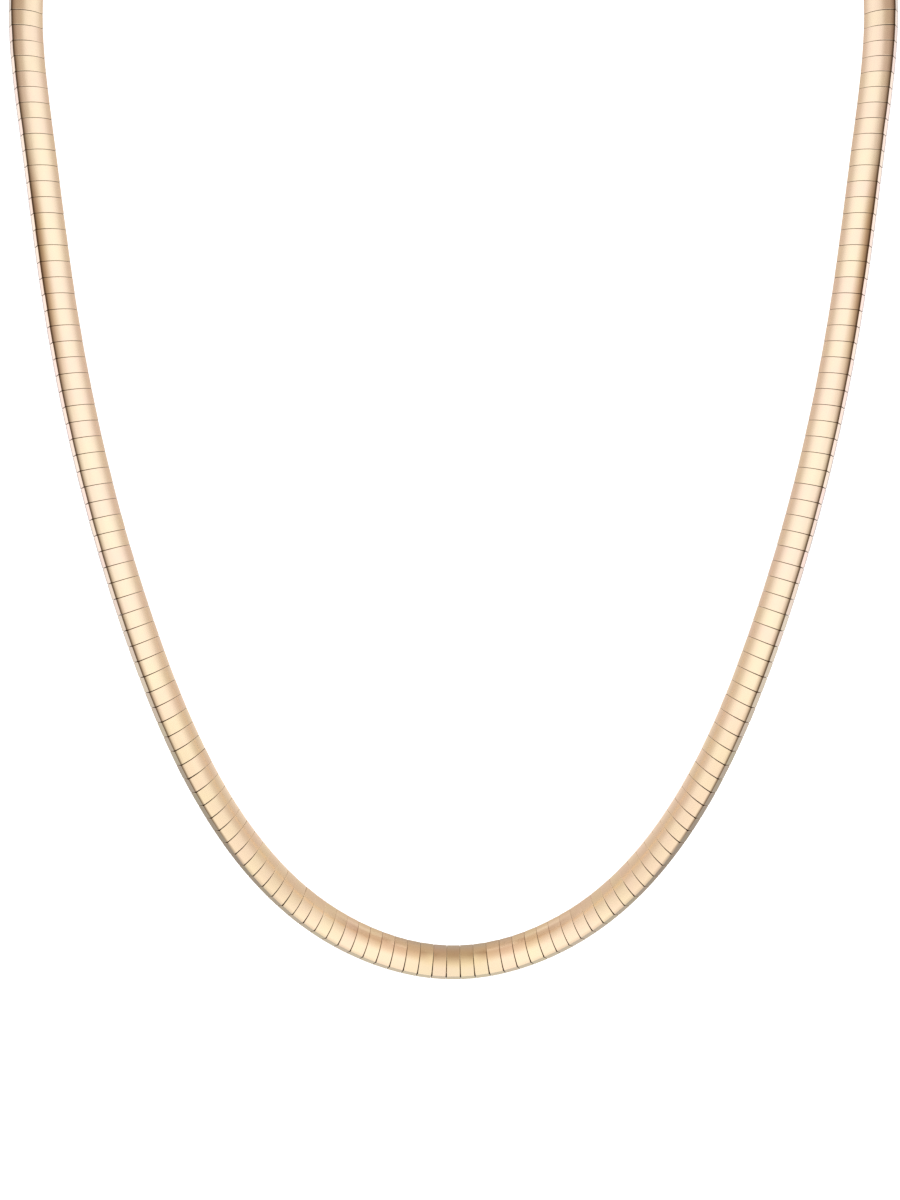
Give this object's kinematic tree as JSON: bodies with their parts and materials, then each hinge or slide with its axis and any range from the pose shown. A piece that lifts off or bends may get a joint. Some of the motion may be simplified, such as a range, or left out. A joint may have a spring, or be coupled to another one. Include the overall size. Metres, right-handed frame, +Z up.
{
  "type": "omega chain necklace",
  "caption": "Flat omega chain necklace: domed gold plates side by side on a woven core, in the curve it is worn in, with a box clasp at the nape.",
  "frame": {"origin": "middle of the clasp's underside, where the necklace sits on the nape", "axes": "+Z up, -Y the wearer's front, +X across; the chain hangs forward and down from the origin in the curve it is worn in"},
  "size_m": [0.106, 0.1338, 0.0791],
  "materials": {
    "plate_gold": "soft satin-polished pale gold, domed plates with crisp long corners",
    "core_gold": "fine woven gold mesh, flattened",
    "clasp_gold": "polished pale gold box with soft edges"
  },
  "bodies": {
    "root": {"plates_right": "plate_gold", "plates_left": "plate_gold", "woven_core": "core_gold", "clasp": "clasp_gold"}
  },
  "joints": []
}
